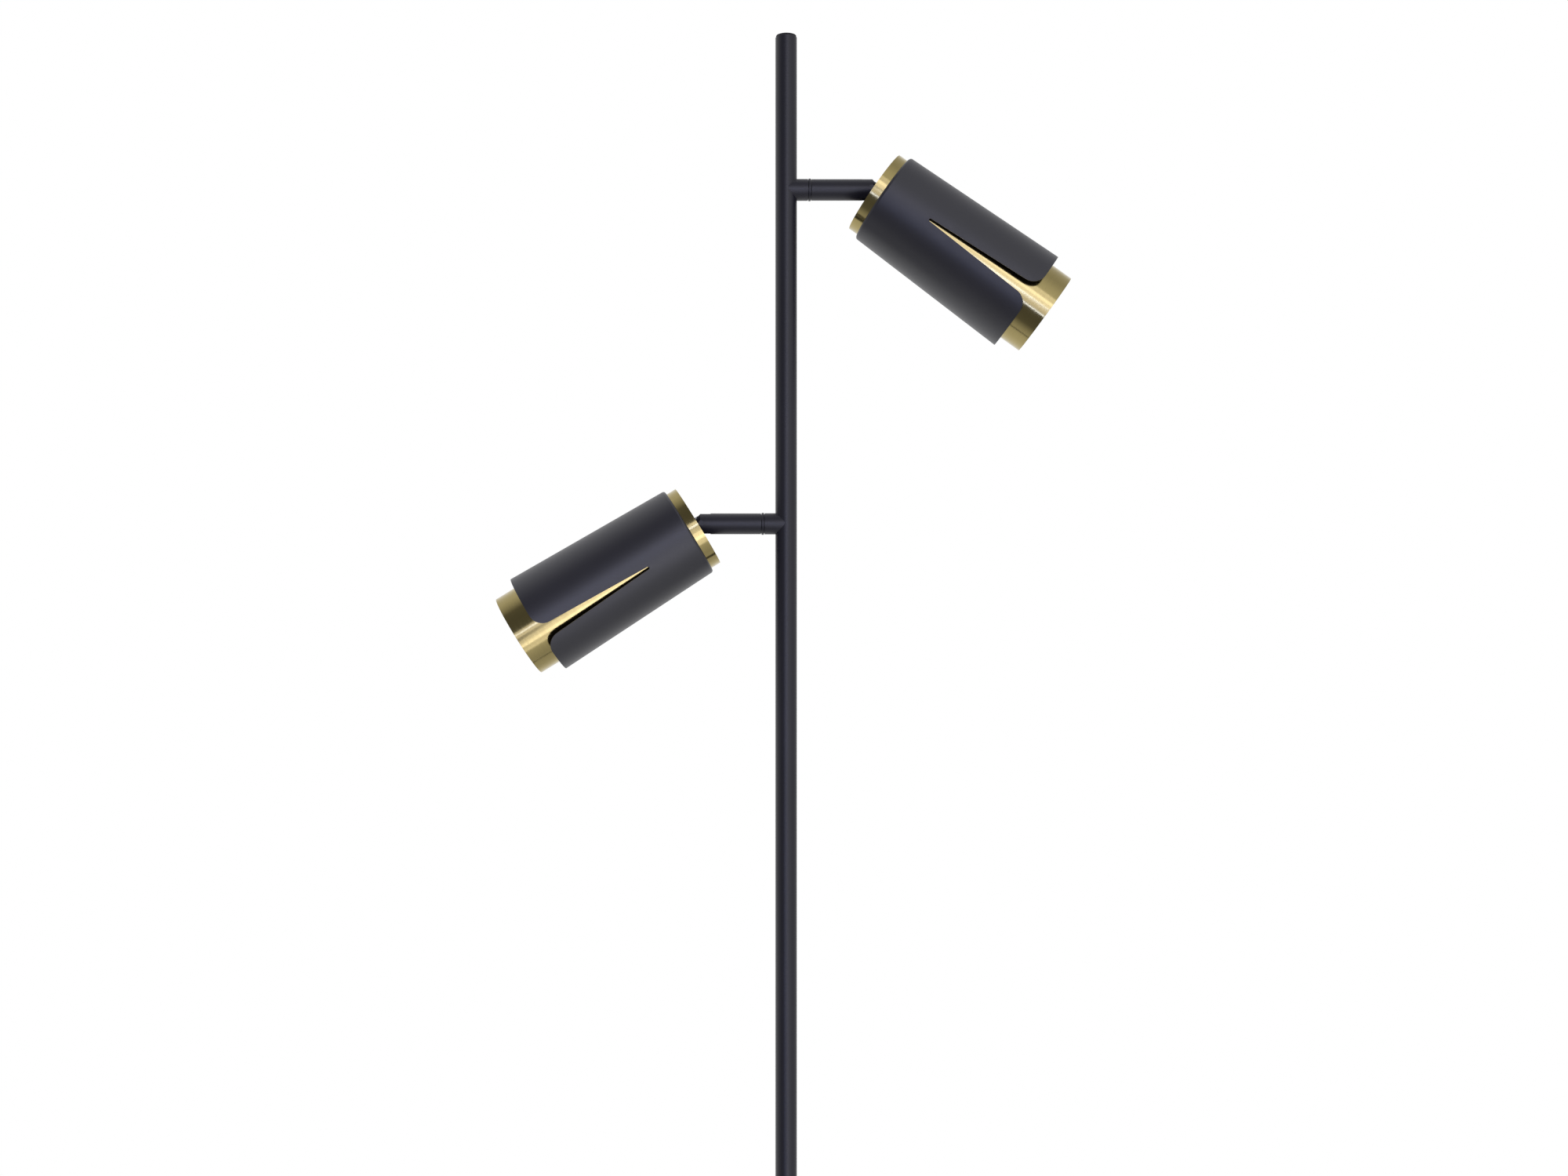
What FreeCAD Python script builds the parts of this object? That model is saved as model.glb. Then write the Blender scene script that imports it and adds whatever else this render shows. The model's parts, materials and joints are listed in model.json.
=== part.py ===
import FreeCAD, Part
import math
import os
import re
import Sketcher

# Floor-to-ceiling tension pole lamp with two tilting, swivelling spot heads.
# Millimetres, +Z up, the pole's axis on Z, the origin under the middle of the floor pad.
# The upper head stands out along +X and the lower one along -X.

doc = FreeCAD.newDocument("tension_pole_lamp")
sheet = doc.addObject("Spreadsheet::Sheet", "Sizes")

SIZES = [
    ("total_height", 2400, "floor to ceiling, foot fully out"),
    ("fit_gap", 0.05, "radial gap of two fixed parts"),
    ("running_gap", 0.05, "radial gap of a part that turns or slides"),
    ("clear_gap", 0.35, "radial gap of two moving parts that never touch"),
    ("seat_gap", 0.2, "axial gap where one part sits against another"),
    ("pole_diameter", 16, "outside of the pole"),
    ("pole_wall", 1.5, "wall of the pole tube"),
    ("small_edge", 0.5, "bevel of the turned pieces' rims"),
    ("seam_edge", 0.3, "bevel of the two tubes where they meet"),
    ("upper_length", 1200, "length of the upper pole tube"),
    ("spigot_length", 90, "joint piece inside the two tubes"),
    ("spigot_bore", 9.4, "way for the leads through the joint piece"),
    ("top_plug_length", 14, "plug in the pole's upper end"),
    ("ceiling_pad_thickness", 1, "rubber between plug and ceiling"),
    ("pad_stem_diameter", 3, "stem of the ceiling pad"),
    ("pad_stem_length", 6, "depth of that stem in the plug"),
    ("foot_diameter", 70, "floor plate"),
    ("foot_thickness", 7, "floor plate"),
    ("foot_edge", 1.5, "bevel round the floor plate"),
    ("boss_diameter", 22, "boss on the floor plate"),
    ("boss_height", 12, "boss on the floor plate"),
    ("floor_pad_diameter", 66, "rubber under the floor plate"),
    ("floor_pad_thickness", 2, "rubber under the floor plate"),
    ("pad_recess", 1, "depth of the pad in the plate"),
    ("screw_diameter", 8, "jack screw at the plunger's lower end"),
    ("screw_floor", 3.5, "bottom of the boss's bore above the floor"),
    ("jack_lower", 8, "way the jack can still be wound in"),
    ("jack_nut_diameter", 26, "fluted hand nut"),
    ("jack_nut_height", 12, "fluted hand nut"),
    ("flute_radius", 1.6, "flutes of the hand nut"),
    ("flute_count", 16, "flutes of the hand nut"),
    ("plunger_diameter", 10, "sliding rod"),
    ("plunger_above_nut", 2, "space over the nut with the jack wound in"),
    ("plunger_show", 24, "rod in sight below the pole"),
    ("plunger_head_height", 6, "collar of the rod"),
    ("spring_nose_diameter", 6.5, "noses that centre the spring"),
    ("spring_nose_length", 12, "noses that centre the spring"),
    ("bush_flange", 3, "flange of the guide bush"),
    ("bush_length", 30, "guide bush inside the tube"),
    ("spring_length", 100, "tension spring as fitted"),
    ("spring_radius", 4.9, "mean radius of the coils"),
    ("spring_wire", 1.6, "wire of the spring"),
    ("spring_coils", 18, "turns of the spring"),
    ("stop_height", 12, "block above the spring"),
    ("stop_pin_diameter", 3, "roll pin through the block"),
    ("stop_pin_bore", 1.4, "bore of the roll pin"),
    ("cable_height", 250, "cable outlet above the floor"),
    ("grommet_diameter", 12, "outer flange of the cable outlet"),
    ("grommet_neck", 9, "neck of the cable outlet"),
    ("grommet_bore", 6.2, "bore for the mains cable"),
    ("grommet_stand", 2, "height of the flange on the pole"),
    ("grommet_inside", 2.5, "neck inside the pole's surface"),
    ("lead_diameter", 3, "insulated lead"),
    ("lead_side", 1.7, "sideways place of each lead"),
    ("lead_back", 2.2, "place of each lead behind the pole's axis"),
    ("lead_bend", 5, "bend of the leads into the arms"),
    ("lead_start", 20, "lower end of the leads above the cable outlet"),
    ("upper_drop", 114.5, "upper arm below the pole's top"),
    ("arm_spacing", 248.7, "lower arm below the upper one"),
    ("stub_diameter", 15.8, "socket brazed to the pole"),
    ("stub_length", 16.1, "socket's end from the pole's axis"),
    ("groove_width", 0.4, "shadow line beside the swivel ring"),
    ("groove_depth", 0.7, "shadow line beside the swivel ring"),
    ("ring_diameter", 16.4, "swivel ring"),
    ("ring_width", 1.9, "swivel ring"),
    ("ring_edge", 0.4, "bevel of the swivel ring"),
    ("nipple_diameter", 10, "hollow threaded pivot of the swivel"),
    ("nipple_bore", 7, "way for the lead"),
    ("nipple_end", 31.4, "pivot's outer end from the pole's axis"),
    ("swivel_nut_diameter", 11.8, "slotted nut on the pivot"),
    ("swivel_nut_height", 3.4, "slotted nut on the pivot"),
    ("spring_washer_height", 1, "spring washer under that nut"),
    ("arm_diameter", 15.5, "arm"),
    ("arm_bore", 12.5, "bore over the swivel's nut"),
    ("arm_bore_end", 40, "end of that bore from the pole's axis"),
    ("arm_lead_bore", 5, "bore for the lead"),
    ("arm_tip", 4.2, "arm beyond the tilt pivot"),
    ("arm_bevel", 3.5, "bevel of the arm's end"),
    ("arm_bush_length", 7, "bush in the arm's inner end"),
    ("arm_lead_diameter", 3.6, "lead inside the arm"),
    ("pivot_reach", 63.3, "tilt pivot from the pole's axis"),
    ("pin_diameter", 4, "tilt pin"),
    ("pin_sink", 0.25, "ends of the tilt pin below the arm's surface"),
    ("washer_diameter", 11, "friction washers of the tilt"),
    ("washer_thickness", 0.5, "friction washers of the tilt"),
    ("washer_gap", 0.1, "between washer and tongue"),
    ("tongue_thickness", 5, "tongue in the arm's slot"),
    ("tongue_radius", 6, "round end of the tongue"),
    ("tongue_clear", 1, "slot's floor behind the tongue"),
    ("tongue_foot_width", 12, "foot of the tongue"),
    ("tongue_foot_height", 28, "foot of the tongue"),
    ("tongue_foot_thickness", 3, "foot of the tongue"),
    ("upper_tilt", 35.7, "nose of the upper head below level"),
    ("lower_tilt", 31.6, "nose of the lower head below level"),
    ("upper_roll", -4, "upper sleeve turned on its barrel"),
    ("lower_roll", 16, "lower sleeve turned on its barrel"),
    ("barrel_diameter", 64, "inner barrel"),
    ("barrel_wall", 1.2, "inner barrel"),
    ("barrel_length", 156.2, "inner barrel"),
    ("barrel_back", 3, "barrel's rear rim from the tilt pivot"),
    ("plate_clear", 1.25, "space between the arm's end and the rear plate"),
    ("plate_thickness", 3, "rear plate"),
    ("plate_skirt", 9, "depth of the rear plate's skirt"),
    ("plate_skirt_wall", 1.5, "wall of that skirt"),
    ("sleeve_start", 7.7, "sleeve's rear edge from the barrel's rear rim"),
    ("sleeve_length", 131.4, "sleeve"),
    ("sleeve_back_diameter", 70, "sleeve at the rear"),
    ("sleeve_front_diameter", 78, "sleeve at the front"),
    ("sleeve_wall", 1.1, "sleeve"),
    ("sleeve_edge", 2, "rounded rear edge of the sleeve"),
    ("sleeve_inner_edge", 1, "bevel inside that edge"),
    ("sleeve_lip_gap", 0.25, "gap between the turned-in edge and the barrel"),
    ("slit_count", 3, "slits of the sleeve"),
    ("slit_length", 92.3, "slit's tip behind the sleeve's front"),
    ("slit_tip_width", 2.1, "slit at its tip"),
    ("slit_front_width", 11.3, "slit at the front, without the corners"),
    ("petal_corner", 11, "round corners of the petals"),
    ("collar_length", 9.5, "spacer ring between barrel and sleeve"),
    ("short_screw_diameter", 3, "small screws"),
    ("short_screw_length", 4.3, "small screws under their heads"),
    ("long_screw_length", 7.3, "knuckle screws under their heads"),
    ("screw_head_diameter", 5.6, "small screws"),
    ("screw_head_height", 2, "small screws"),
    ("screw_head_edge", 0.7, "bevel of their heads"),
    ("screw_socket", 2.4, "recess of the small screws"),
    ("screw_socket_depth", 1.2, "recess of the small screws"),
    ("knuckle_screw_spread", 9, "knuckle screws from the head's axis"),
    ("bracket_thickness", 1.5, "strap that carries the lampholder"),
    ("bracket_width", 12, "strap that carries the lampholder"),
    ("bracket_past_screw", 5, "strap beyond the lampholder's screws"),
    ("holder_diameter", 24, "lampholder"),
    ("holder_length", 21, "lampholder"),
    ("holder_screw_place", 4.5, "lampholder's cross screws from its rear"),
    ("holder_lead_side", 8, "leads beside the head's axis"),
    ("holder_lead_diameter", 2, "leads of the lampholder"),
    ("holder_lead_spread", 1.5, "each lead from the middle of the pair"),
    ("lamp_front", 104, "lamp's front from the barrel's rear rim"),
    ("lamp_length", 46, "lamp without its pins"),
    ("lamp_diameter", 50, "lamp"),
    ("lamp_neck_diameter", 22, "lamp's base"),
    ("lamp_neck_length", 12, "lamp's base"),
    ("lamp_rim_length", 8, "straight rim of the lamp"),
    ("lamp_rim_wall", 1.8, "rim round the lens"),
    ("lamp_pin_spacing", 10, "lamp's two pins"),
    ("lamp_pin_length", 8, "lamp's two pins"),
    ("lamp_pin_diameter", 3, "lamp's two pins"),
    ("lamp_pin_head_diameter", 5, "lamp's two pins"),
    ("lamp_pin_head_height", 2.2, "lamp's two pins"),
    ("lens_thickness", 3, "lamp's lens"),
    ("lens_edge_width", 3, "slope round the lens"),
    ("lens_edge_depth", 1, "slope round the lens"),
    ("lens_sink", 0.6, "lens below the lamp's rim"),
    ("lamp_ring_length", 14, "ring that centres the lamp"),
    ("lamp_ring_wall", 1.5, "walls and web of that ring"),
    ("lamp_ring_lead", 6, "ring's front edge beyond the lamp's front"),
    ("clip_wire", 1.2, "wire clip in front of the lamp"),
    ("clip_opening", 30, "open angle of the wire clip"),
]

for row, (alias, amount, note) in enumerate(SIZES, start=1):
    sheet.set(f"A{row}", alias)
    sheet.set(f"B{row}", str(amount))
    sheet.setAlias(f"B{row}", alias)
    sheet.set(f"C{row}", note)
doc.recompute()

# Sizes that follow from the driving ones, each written once and used by name below.
FOLLOWS = {
    "pole_radius": "pole_diameter / 2",
    "pole_bore_radius": "pole_diameter / 2 - pole_wall",
    "insert_radius": "pole_bore_radius - fit_gap",
    "pole_top": "total_height - ceiling_pad_thickness",
    "pole_joint": "pole_top - upper_length",
    "foot_under": "floor_pad_thickness - pad_recess",
    "foot_top": "foot_under + foot_thickness",
    "boss_top": "foot_top + boss_height",
    "nut_under": "boss_top + running_gap",
    "nut_top": "nut_under + jack_nut_height",
    "screw_end": "screw_floor + seat_gap + jack_lower",
    "plunger_under": "nut_top + jack_lower + plunger_above_nut",
    "bush_under": "plunger_under + plunger_show",
    "pole_bottom": "bush_under + bush_flange",
    "bush_top": "pole_bottom + bush_length",
    "plunger_head": "bush_top + seat_gap",
    "spring_seat": "plunger_head + plunger_head_height",
    "spring_under": "spring_seat + seat_gap",
    "spring_top": "spring_under + spring_length",
    "stop_under": "spring_top + seat_gap",
    "stop_middle": "stop_under + stop_height / 2",
    "lead_bottom": "cable_height + lead_start",
    "upper_arm_height": "total_height - upper_drop",
    "lower_arm_height": "upper_arm_height - arm_spacing",
    "ring_start": "stub_length + groove_width",
    "ring_end": "ring_start + ring_width",
    "arm_start": "ring_end + groove_width",
    "groove_radius": "arm_diameter / 2 - groove_depth",
    "nipple_radius": "nipple_diameter / 2",
    "nipple_start": "pole_bore_radius + fit_gap",
    "arm_bush_end": "arm_start + arm_bush_length",
    "spring_washer_start": "arm_bush_end + running_gap",
    "swivel_nut_start": "spring_washer_start + spring_washer_height + running_gap",
    "slot_width": "tongue_thickness + 2 * (washer_thickness + washer_gap)",
    "slot_depth": "tongue_radius + tongue_clear",
    "arm_end": "pivot_reach + arm_tip",
    "barrel_radius": "barrel_diameter / 2",
    "barrel_bore_radius": "barrel_diameter / 2 - barrel_wall",
    "barrel_front": "barrel_back + barrel_length",
    "plate_back": "arm_diameter / 2 + plate_clear",
    "plate_front": "plate_back + plate_thickness",
    "plate_radius": "barrel_bore_radius - fit_gap",
    "skirt_front": "plate_front + plate_skirt",
    "skirt_radius": "plate_radius - plate_skirt_wall",
    "screw_seat": "sqrt(skirt_radius ^ 2 - (screw_head_diameter / 2) ^ 2) - fit_gap",
    "tongue_foot_front": "plate_front + tongue_foot_thickness",
    "bracket_front": "tongue_foot_front + bracket_thickness",
    "bracket_inside": "holder_diameter / 2 + seat_gap",
    "bracket_outside": "bracket_inside + bracket_thickness",
    "sleeve_back": "barrel_back + sleeve_start",
    "sleeve_front": "sleeve_back + sleeve_length",
    "sleeve_slope": "(sleeve_front_diameter - sleeve_back_diameter) / (2 * sleeve_length)",
    "sleeve_inside": "sleeve_back_diameter / 2 - sleeve_wall",
    "lip_radius": "barrel_radius + sleeve_lip_gap",
    "collar_back": "sleeve_back + sleeve_wall + fit_gap",
    "collar_front": "collar_back + collar_length",
    "collar_screw": "collar_back + collar_length / 2",
    "slit_tip": "sleeve_front - slit_length",
    "short_screw_radius": "short_screw_diameter / 2",
    "lamp_face": "barrel_back + lamp_front",
    "lamp_back": "lamp_face - lamp_length",
    "holder_front": "lamp_back - seat_gap",
    "holder_back": "holder_front - holder_length",
    "holder_screw": "holder_back + holder_screw_place",
    "bracket_end": "holder_screw + bracket_past_screw",
    "lens_radius": "lamp_diameter / 2 - lamp_rim_wall",
    "lens_front": "lamp_face - lens_sink",
    "lens_back": "lens_front - lens_thickness",
    "ring_front": "lamp_face + lamp_ring_lead",
    "ring_back": "ring_front - lamp_ring_length",
    "ring_bore_radius": "lamp_diameter / 2 + clear_gap",
    "ring_radius": "barrel_bore_radius - fit_gap",
    "clip_place": "lamp_face + seat_gap + clip_wire / 2",
    "clip_groove": "clip_wire / 2 + fit_gap",
}
SHEET_WORD = re.compile(r"\b[a-z]+(?:_[a-z]+)+\b")
NODES = {}


def bound(text):
    """Spell a size out in the sheet's own cells."""
    def spell(found):
        word = found.group(0)
        return f"({bound(FOLLOWS[word])})" if word in FOLLOWS else f"Sizes.{word}"
    return SHEET_WORD.sub(spell, str(text))


def value(text):
    """The number that a size comes to."""
    return float(sheet.evalExpression(bound(text)))


def bind(thing, **properties):
    """Tie an object's properties to the sheet."""
    for name, text in properties.items():
        thing.setExpression(name, bound(text))
    return thing


def at(thing, x="0", y="0", z="0"):
    """Tie an object's place to the sheet."""
    for letter, text in (("x", x), ("y", y), ("z", z)):
        if text != "0":
            thing.setExpression(f"Placement.Base.{letter}", bound(text))
    return thing


def turned(thing, axis, angle):
    """Turn an object about an axis through its own origin by an angle of the sheet."""
    base = thing.Placement.Base
    thing.Placement = FreeCAD.Placement(base, FreeCAD.Rotation(FreeCAD.Vector(*axis), value(angle)))
    thing.setExpression("Placement.Rotation.Angle", f"({bound(angle)}) * 1deg")
    return thing


def node(name, thing):
    """Keep a finished sub-part under its name."""
    thing.Label = name
    NODES[name] = thing
    return thing


def cylinder(name, radius, length, axis="Z", x="0", y="0", z="0"):
    """A round bar that starts at a place and runs along +X, +Y or +Z."""
    bar = bind(doc.addObject("Part::Cylinder", name), Radius=radius, Height=length)
    if axis == "X":
        bar.Placement.Rotation = FreeCAD.Rotation(FreeCAD.Vector(0, 1, 0), 90)
    if axis == "Y":
        bar.Placement.Rotation = FreeCAD.Rotation(FreeCAD.Vector(1, 0, 0), -90)
    return at(bar, x, y, z)


def block(name, start, end, width, height, centre="0"):
    """A box along X from start to end, its width along Y and its height along Z about centre."""
    box = doc.addObject("Part::Box", name)
    bind(box, Length=f"{end} - ({start})", Width=width, Height=height)
    return at(box, start, f"-({width}) / 2", f"{centre} - ({height}) / 2")


def joined(name, *pieces):
    whole = doc.addObject("Part::MultiFuse", name)
    whole.Shapes = list(pieces)
    whole.Refine = True
    return whole


def cut(name, blank, *tools):
    tool = tools[0] if len(tools) == 1 else joined(f"{name}_holes", *tools)
    rest = doc.addObject("Part::Cut", name)
    rest.Base = blank
    rest.Tool = tool
    return rest


def group(name, pieces):
    """Alike pieces that share one node and stay separate solids."""
    together = doc.addObject("Part::Compound", name)
    together.Links = list(pieces)
    return together


def fix_along(sketch, item, end, text):
    place = sketch.addConstraint(Sketcher.Constraint("DistanceX", -1, 1, item, end, value(text)))
    sketch.setExpression(f"Constraints[{place}]", bound(text))


def fix_across(sketch, item, end, text):
    place = sketch.addConstraint(Sketcher.Constraint("DistanceY", -1, 1, item, end, value(text)))
    sketch.setExpression(f"Constraints[{place}]", bound(text))


def fix_point(sketch, item, end, along, across):
    """Tie a point of a sketch to the sheet. A zero lies on the sketch's own axis."""
    if along == "0":
        sketch.addConstraint(Sketcher.Constraint("PointOnObject", item, end, -2))
    else:
        fix_along(sketch, item, end, along)
    if across == "0":
        sketch.addConstraint(Sketcher.Constraint("PointOnObject", item, end, -1))
    else:
        fix_across(sketch, item, end, across)


def fix_radius(sketch, item, text):
    place = sketch.addConstraint(Sketcher.Constraint("Radius", item, value(text)))
    sketch.setExpression(f"Constraints[{place}]", bound(text))


def outline(body, name, plane, corners, tilt=None):
    """A closed sketch whose corners are tied to the sheet one by one."""
    sketch = body.newObject("Sketcher::SketchObject", name)
    support = next(part for part in body.Origin.OriginFeatures if part.Role == plane)
    sketch.AttachmentSupport = (support, [""])
    sketch.MapMode = "FlatFace"
    if tilt:
        turn = FreeCAD.Rotation(FreeCAD.Vector(1, 0, 0), value(tilt))
        sketch.AttachmentOffset = FreeCAD.Placement(FreeCAD.Vector(), turn)
        sketch.setExpression("AttachmentOffset.Rotation.Angle", f"({bound(tilt)}) * 1deg")
    spots = [FreeCAD.Vector(value(across), value(up), 0) for across, up in corners]
    count = len(spots)
    for index in range(count):
        sketch.addGeometry(Part.LineSegment(spots[index], spots[(index + 1) % count]), False)
    for index in range(count):
        sketch.addConstraint(Sketcher.Constraint("Coincident", index, 2, (index + 1) % count, 1))
    for index, (across, up) in enumerate(corners):
        fix_point(sketch, index, 1, across, up)
    return sketch


def lathe(name, axis, corners):
    """A turned piece. Corners are (along the axis, radius)."""
    body = doc.addObject("PartDesign::Body", name)
    if axis == "Z":
        corners = [(radius, along) for along, radius in corners]
    sketch = outline(body, f"{name}_section", "XZ_Plane", corners)
    turning = body.newObject("PartDesign::Revolution", f"{name}_turning")
    turning.Profile = sketch
    turning.ReferenceAxis = (sketch, ["V_Axis" if axis == "Z" else "H_Axis"])
    turning.Angle = 360
    return body


def round_edge(body, along, radius, size):
    """Round the circular edge of a piece turned about X that lies at a place and radius."""
    doc.recompute()
    turning = body.Tip
    spot = FreeCAD.Vector(value(along), value(radius), 0)
    near = [edge.distToShape(Part.Vertex(spot))[0] for edge in turning.Shape.Edges]
    rounding = body.newObject("PartDesign::Fillet", f"{turning.Name}_rounding")
    rounding.Base = (turning, [f"Edge{near.index(min(near)) + 1}"])
    bind(rounding, Radius=size)
    doc.recompute()


def tube_corners(start, end, inner, outer):
    return [(start, inner), (start, outer), (end, outer), (end, inner)]


def small_screw(name, length):
    """A round-headed screw along +Z, its head's seat at z = 0."""
    return lathe(name, "Z", [
        ("screw_socket_depth - screw_head_height", "0"),
        ("screw_socket_depth - screw_head_height", "screw_socket / 2"),
        ("-screw_head_height", "screw_socket / 2"),
        ("-screw_head_height", "screw_head_diameter / 2 - screw_head_edge"),
        ("screw_head_edge - screw_head_height", "screw_head_diameter / 2"),
        ("0", "screw_head_diameter / 2"),
        ("0", "short_screw_radius"),
        (length, "short_screw_radius"),
        (length, "0")])


def side_name(side, piece):
    return f"{side}_{piece}"


# --- Pole ---------------------------------------------------------------------------------

def make_pole():
    rim = lathe("pole_upper_tube", "Z", [
        ("pole_joint", "pole_bore_radius"),
        ("pole_joint", "pole_radius - seam_edge"),
        ("pole_joint + seam_edge", "pole_radius"),
        ("pole_top - small_edge", "pole_radius"),
        ("pole_top", "pole_radius - small_edge"),
        ("pole_top", "pole_bore_radius")])
    upper_hole = cylinder("upper_arm_hole", "nipple_radius + fit_gap", "pole_diameter", "X",
                          z="upper_arm_height")
    lower_hole = cylinder("lower_arm_hole", "nipple_radius + fit_gap", "pole_diameter", "X",
                          x="-pole_diameter", z="lower_arm_height")
    node("pole_upper", cut("pole_upper", rim, upper_hole, lower_hole))

    stem = lathe("pole_lower_tube", "Z", [
        ("pole_bottom", "pole_bore_radius"),
        ("pole_bottom", "pole_radius"),
        ("pole_joint - seam_edge", "pole_radius"),
        ("pole_joint", "pole_radius - seam_edge"),
        ("pole_joint", "pole_bore_radius")])
    pin_hole = cylinder("stop_pin_hole", "stop_pin_diameter / 2 + fit_gap", "2 * pole_diameter", "Y",
                        y="-pole_diameter", z="stop_middle")
    cable_hole = cylinder("cable_hole", "grommet_neck / 2 + fit_gap", "pole_diameter", "Y",
                          z="cable_height")
    node("pole_lower", cut("pole_lower", stem, pin_hole, cable_hole))

    node("pole_joint_spigot", lathe("pole_joint_spigot", "Z", tube_corners(
        "pole_joint - spigot_length / 2", "pole_joint + spigot_length / 2",
        "spigot_bore / 2", "insert_radius")))
    node("top_plug", lathe("top_plug", "Z", [
        ("pole_top - top_plug_length", "0"),
        ("pole_top - top_plug_length", "insert_radius"),
        ("pole_top", "insert_radius"),
        ("pole_top", "pad_stem_diameter / 2 + fit_gap"),
        ("pole_top - pad_stem_length - seat_gap", "pad_stem_diameter / 2 + fit_gap"),
        ("pole_top - pad_stem_length - seat_gap", "0")]))
    node("ceiling_pad", lathe("ceiling_pad", "Z", [
        ("pole_top - pad_stem_length", "0"),
        ("pole_top - pad_stem_length", "pad_stem_diameter / 2"),
        ("pole_top", "pad_stem_diameter / 2"),
        ("pole_top", "pole_radius - small_edge"),
        ("total_height", "pole_radius - small_edge"),
        ("total_height", "0")]))


def make_cable_outlet():
    flange = cylinder("grommet_flange", "grommet_diameter / 2", "pole_radius + grommet_stand", "Y",
                      z="cable_height")
    inside = cylinder("grommet_saddle", "pole_radius", "2 * grommet_diameter",
                      z="cable_height - grommet_diameter")
    neck = cylinder("grommet_neck_bar", "grommet_neck / 2", "grommet_inside + grommet_stand", "Y",
                    y="pole_radius - grommet_inside", z="cable_height")
    bore = cylinder("grommet_bore_bar", "grommet_bore / 2", "pole_diameter", "Y", z="cable_height")
    saddle = cut("grommet_outer", flange, inside)
    node("cable_grommet", cut("cable_grommet", joined("grommet_body", saddle, neck), bore))


def pole_lead(name, side, height):
    """One lead up the pole, round a bend and out through an arm's pivot along side * X."""
    way = "" if side > 0 else "-"
    back = "-" if side > 0 else ""
    level = f"{height} - lead_bend"
    rise = cylinder(f"{name}_rise", "lead_diameter / 2", f"{level} - lead_bottom",
                    x=f"{back}lead_back", y=f"{way}lead_side", z="lead_bottom")
    bend = doc.addObject("Part::Torus", f"{name}_bend")
    bend.Angle3 = 90
    bind(bend, Radius1="lead_bend", Radius2="lead_diameter / 2")
    stand = FreeCAD.Rotation(FreeCAD.Vector(1, 0, 0), 90)
    quarter = FreeCAD.Rotation(FreeCAD.Vector(0, 1, 0), -90 if side > 0 else 0)
    bend.Placement.Rotation = quarter * stand
    centre = "lead_bend - lead_back" if side > 0 else "lead_back - lead_bend"
    at(bend, x=centre, y=f"{way}lead_side", z=level)
    reach = f"nipple_end - seat_gap - ({centre})" if side > 0 else f"nipple_end - seat_gap + ({centre})"
    start = centre if side > 0 else "seat_gap - nipple_end"
    run = cylinder(f"{name}_run", "lead_diameter / 2", reach, "X", x=start,
                   y=f"{way}lead_side", z=height)
    return joined(name, rise, bend, run)


def make_wiring():
    node("pole_wiring", group("pole_wiring", [
        pole_lead("upper_lead", 1, "upper_arm_height"),
        pole_lead("lower_lead", -1, "lower_arm_height")]))


# --- Sprung foot --------------------------------------------------------------------------

def make_foot():
    node("guide_bush", lathe("guide_bush", "Z", [
        ("bush_under", "plunger_diameter / 2 + running_gap"),
        ("bush_under", "pole_radius - small_edge"),
        ("bush_under + small_edge", "pole_radius"),
        ("pole_bottom", "pole_radius"),
        ("pole_bottom", "insert_radius"),
        ("bush_top", "insert_radius"),
        ("bush_top", "plunger_diameter / 2 + running_gap")]))
    node("plunger", lathe("plunger", "Z", [
        ("screw_end", "0"),
        ("screw_end", "screw_diameter / 2 - small_edge"),
        ("screw_end + small_edge", "screw_diameter / 2"),
        ("plunger_under", "screw_diameter / 2"),
        ("plunger_under", "plunger_diameter / 2"),
        ("plunger_head", "plunger_diameter / 2"),
        ("plunger_head", "pole_bore_radius - clear_gap"),
        ("spring_seat", "pole_bore_radius - clear_gap"),
        ("spring_seat", "spring_nose_diameter / 2"),
        ("spring_seat + spring_nose_length", "spring_nose_diameter / 2"),
        ("spring_seat + spring_nose_length", "0")]))
    stop = lathe("spring_stop_block", "Z", [
        ("stop_under - spring_nose_length", "0"),
        ("stop_under - spring_nose_length", "spring_nose_diameter / 2"),
        ("stop_under", "spring_nose_diameter / 2"),
        ("stop_under", "insert_radius"),
        ("stop_under + stop_height", "insert_radius"),
        ("stop_under + stop_height", "0")])
    through = cylinder("stop_hole", "stop_pin_diameter / 2 + fit_gap", "2 * pole_diameter", "Y",
                       y="-pole_diameter", z="stop_middle")
    node("spring_stop", cut("spring_stop", stop, through))
    pin_length = "2 * pole_radius - 2 * pin_sink"
    pin = cylinder("stop_pin_bar", "stop_pin_diameter / 2", pin_length, "Y",
                   y=f"-({pin_length}) / 2", z="stop_middle")
    bore = cylinder("stop_pin_hollow", "stop_pin_bore / 2", "2 * pole_diameter", "Y",
                    y="-pole_diameter", z="stop_middle")
    node("spring_stop_pin", cut("spring_stop_pin", pin, bore))

    node("foot_plate", lathe("foot_plate", "Z", [
        ("screw_floor", "0"),
        ("screw_floor", "screw_diameter / 2 + clear_gap"),
        ("boss_top", "screw_diameter / 2 + clear_gap"),
        ("boss_top", "boss_diameter / 2 - small_edge"),
        ("boss_top - small_edge", "boss_diameter / 2"),
        ("foot_top", "boss_diameter / 2"),
        ("foot_top", "foot_diameter / 2 - foot_edge"),
        ("foot_top - foot_edge", "foot_diameter / 2"),
        ("foot_under", "foot_diameter / 2"),
        ("foot_under", "floor_pad_diameter / 2 + fit_gap"),
        ("floor_pad_thickness", "floor_pad_diameter / 2 + fit_gap"),
        ("floor_pad_thickness", "0")]))
    node("floor_pad", lathe("floor_pad", "Z", [
        ("0", "0"),
        ("0", "floor_pad_diameter / 2"),
        ("floor_pad_thickness", "floor_pad_diameter / 2"),
        ("floor_pad_thickness", "0")]))
    make_jack_nut()
    make_spring()


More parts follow.
